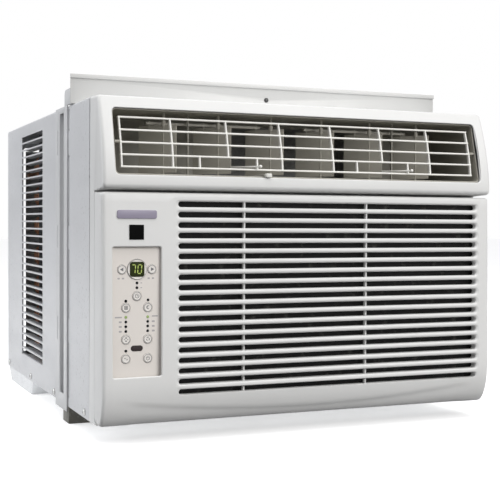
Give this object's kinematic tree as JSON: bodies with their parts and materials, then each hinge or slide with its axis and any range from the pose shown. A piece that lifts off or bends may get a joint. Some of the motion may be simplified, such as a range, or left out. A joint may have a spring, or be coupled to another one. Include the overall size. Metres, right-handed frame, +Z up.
{
  "type": "window air conditioner",
  "caption": "Box-shaped window air conditioner with a louvered cabinet, hinged slotted intake panel, push-button controls and a top air outlet with grid and vanes.",
  "frame": {"origin": "middle of the unit's footprint on the plane it stands on, under the sump and the bottom rail", "axes": "+X to the right of a person facing the controls, +Y from the front grille to the condenser at the back, +Z up"},
  "size_m": [0.511, 0.5784, 0.4273],
  "materials": {
    "cabinet_paint": "satin",
    "rail_paint": "satin",
    "guide_paint": "satin",
    "dark_rail_paint": "matte",
    "galvanised_sheet": "satin",
    "motor_steel": "satin",
    "shaft_steel": "satin",
    "white_plastic": "satin",
    "louver_plastic": "satin",
    "duct_plastic": "matte",
    "vane_plastic": "matte",
    "black_plastic": "matte",
    "grey_plastic": "matte",
    "fascia_plastic": "satin",
    "button_plastic": "satin",
    "filter_plastic": "matte",
    "badge_plastic": "satin",
    "mark_plastic": "satin",
    "display_plastic": "gloss",
    "board_laminate": "satin",
    "capacitor_can": "satin",
    "scroll_foam": "matte",
    "tray_foam": "matte",
    "evaporator_fins": "satin",
    "condenser_fins": "satin",
    "compressor_paint": "satin",
    "copper_tube": "satin",
    "black_rubber": "matte"
  },
  "bodies": {
    "chassis": {"cabinet": "cabinet_paint", "base_pan": "galvanised_sheet", "top_rail": "rail_paint", "bottom_rail": "dark_rail_paint", "side_guide_left": "guide_paint", "side_guide_right": "guide_paint", "front_bezel": "white_plastic", "outlet_duct": "duct_plastic", "control_panel": "fascia_plastic", "display_window": "display_plastic", "infrared_window": "display_plastic", "control_box": "galvanised_sheet", "control_board": "board_laminate", "run_capacitor": "capacitor_can", "blower_scroll": "scroll_foam", "bulkhead": "galvanised_sheet", "fan_motor": "motor_steel", "motor_bracket": "galvanised_sheet", "fan_shroud": "grey_plastic", "evaporator_coil": "evaporator_fins", "condenser_coil": "condenser_fins", "drip_tray": "tray_foam", "compressor": "compressor_paint", "compressor_grommet_1": "black_rubber", "compressor_grommet_2": "black_rubber", "compressor_grommet_3": "black_rubber", "accumulator": "compressor_paint", "accumulator_tube": "copper_tube", "suction_tube": "copper_tube", "discharge_tube": "copper_tube", "capillary_tube": "copper_tube", "cord_grommet": "black_rubber"},
    "intake_panel": {"intake_panel": "white_plastic", "air_filter": "filter_plastic", "blank_badge": "badge_plastic", "blank_mark": "mark_plastic"},
    "button_temp_down": {"button_temp_down": "button_plastic"},
    "button_temp_up": {"button_temp_up": "button_plastic"},
    "button_timer": {"button_timer": "button_plastic"},
    "button_filter_reset": {"button_filter_reset": "button_plastic"},
    "button_sleep": {"button_sleep": "button_plastic"},
    "button_mode": {"button_mode": "button_plastic"},
    "button_fan_speed": {"button_fan_speed": "button_plastic"},
    "button_energy_saver": {"button_energy_saver": "button_plastic"},
    "button_power": {"button_power": "button_plastic"},
    "louver_grid": {"louver_grid": "louver_plastic"},
    "vane_1": {"vane_1": "vane_plastic"},
    "vane_2": {"vane_2": "vane_plastic"},
    "vane_3": {"vane_3": "vane_plastic"},
    "vane_4": {"vane_4": "vane_plastic"},
    "vane_5": {"vane_5": "vane_plastic"},
    "vane_6": {"vane_6": "vane_plastic"},
    "vane_link_left": {"vane_link_left": "vane_plastic"},
    "vane_link_right": {"vane_link_right": "vane_plastic"},
    "vent_pull": {"vent_pull": "white_plastic"},
    "vent_door": {"vent_door": "grey_plastic"},
    "rotor": {"motor_shaft": "shaft_steel", "blower_wheel": "black_plastic", "condenser_fan": "black_plastic"}
  },
  "joints": [
    {"name": "intake_panel_hinge", "type": "hinge", "parent": "chassis", "child": "intake_panel", "pos_m": [0, -0.26175, 0.033], "axis": [1, 0, 0], "range_deg": [0, 45]},
    {"name": "press_temp_down", "type": "slide", "parent": "chassis", "child": "button_temp_down", "axis": [0, 1, 0], "range_m": [0, 0.0008], "stiffness_N_per_m": 300},
    {"name": "press_temp_up", "type": "slide", "parent": "chassis", "child": "button_temp_up", "axis": [0, 1, 0], "range_m": [0, 0.0008], "stiffness_N_per_m": 300},
    {"name": "press_timer", "type": "slide", "parent": "chassis", "child": "button_timer", "axis": [0, 1, 0], "range_m": [0, 0.0008], "stiffness_N_per_m": 300},
    {"name": "press_filter_reset", "type": "slide", "parent": "chassis", "child": "button_filter_reset", "axis": [0, 1, 0], "range_m": [0, 0.0008], "stiffness_N_per_m": 300},
    {"name": "press_sleep", "type": "slide", "parent": "chassis", "child": "button_sleep", "axis": [0, 1, 0], "range_m": [0, 0.0008], "stiffness_N_per_m": 300},
    {"name": "press_mode", "type": "slide", "parent": "chassis", "child": "button_mode", "axis": [0, 1, 0], "range_m": [0, 0.0008], "stiffness_N_per_m": 300},
    {"name": "press_fan_speed", "type": "slide", "parent": "chassis", "child": "button_fan_speed", "axis": [0, 1, 0], "range_m": [0, 0.0008], "stiffness_N_per_m": 300},
    {"name": "press_energy_saver", "type": "slide", "parent": "chassis", "child": "button_energy_saver", "axis": [0, 1, 0], "range_m": [0, 0.0008], "stiffness_N_per_m": 300},
    {"name": "press_power", "type": "slide", "parent": "chassis", "child": "button_power", "axis": [0, 1, 0], "range_m": [0, 0.0008], "stiffness_N_per_m": 300},
    {"name": "louver_grid_tilt", "type": "hinge", "parent": "chassis", "child": "louver_grid", "pos_m": [0, -0.27125, 0.338], "axis": [1, 0, 0], "range_deg": [-6, 12]},
    {"name": "vane_1_swing", "type": "hinge", "parent": "chassis", "child": "vane_1", "pos_m": [-0.169, -0.24125, 0.3335], "axis": [0, 0, 1], "range_deg": [-80, 0]},
    {"name": "vane_2_swing", "type": "hinge", "parent": "chassis", "child": "vane_2", "pos_m": [-0.1014, -0.24125, 0.3335], "axis": [0, 0, 1], "range_deg": [-80, 0]},
    {"name": "vane_3_swing", "type": "hinge", "parent": "chassis", "child": "vane_3", "pos_m": [-0.0338, -0.24125, 0.3335], "axis": [0, 0, 1], "range_deg": [-80, 0]},
    {"name": "vane_4_swing", "type": "hinge", "parent": "chassis", "child": "vane_4", "pos_m": [0.0338, -0.24125, 0.3335], "axis": [0, 0, 1], "range_deg": [-80, 0]},
    {"name": "vane_5_swing", "type": "hinge", "parent": "chassis", "child": "vane_5", "pos_m": [0.1014, -0.24125, 0.3335], "axis": [0, 0, 1], "range_deg": [-80, 0]},
    {"name": "vane_6_swing", "type": "hinge", "parent": "chassis", "child": "vane_6", "pos_m": [0.169, -0.24125, 0.3335], "axis": [0, 0, 1], "range_deg": [-80, 0]},
    {"name": "vane_link_left_pin", "type": "hinge", "parent": "vane_2", "child": "vane_link_left", "pos_m": [-0.11426, -0.22593, 0.3636], "axis": [0, 0, 1], "range_deg": [0, 80]},
    {"name": "vane_link_right_pin", "type": "hinge", "parent": "vane_5", "child": "vane_link_right", "pos_m": [0.08854, -0.22593, 0.3636], "axis": [0, 0, 1], "range_deg": [0, 80]},
    {"name": "vent_pull_slide", "type": "slide", "parent": "chassis", "child": "vent_pull", "axis": [0, -1, 0], "range_m": [0, 0.015]},
    {"name": "vent_door_hinge", "type": "hinge", "parent": "chassis", "child": "vent_door", "pos_m": [-0.0565, -0.07025, 0.278], "axis": [1, 0, 0], "range_deg": [0, 35]},
    {"name": "rotor_spin", "type": "hinge", "parent": "chassis", "child": "rotor", "pos_m": [0.03, -0.10825, 0.186], "axis": [0, 1, 0], "continuous": true}
  ],
  "couplings": [
    {"joint": "vane_1_swing", "follows": "vane_2_swing", "ratio": 1},
    {"joint": "vane_3_swing", "follows": "vane_2_swing", "ratio": 1},
    {"joint": "vane_4_swing", "follows": "vane_5_swing", "ratio": 1},
    {"joint": "vane_6_swing", "follows": "vane_5_swing", "ratio": 1},
    {"joint": "vane_link_left_pin", "follows": "vane_2_swing", "ratio": -1},
    {"joint": "vane_link_right_pin", "follows": "vane_5_swing", "ratio": -1},
    {"joint": "vent_door_hinge", "follows": "vent_pull_slide", "rad_per_m": 40.5}
  ]
}
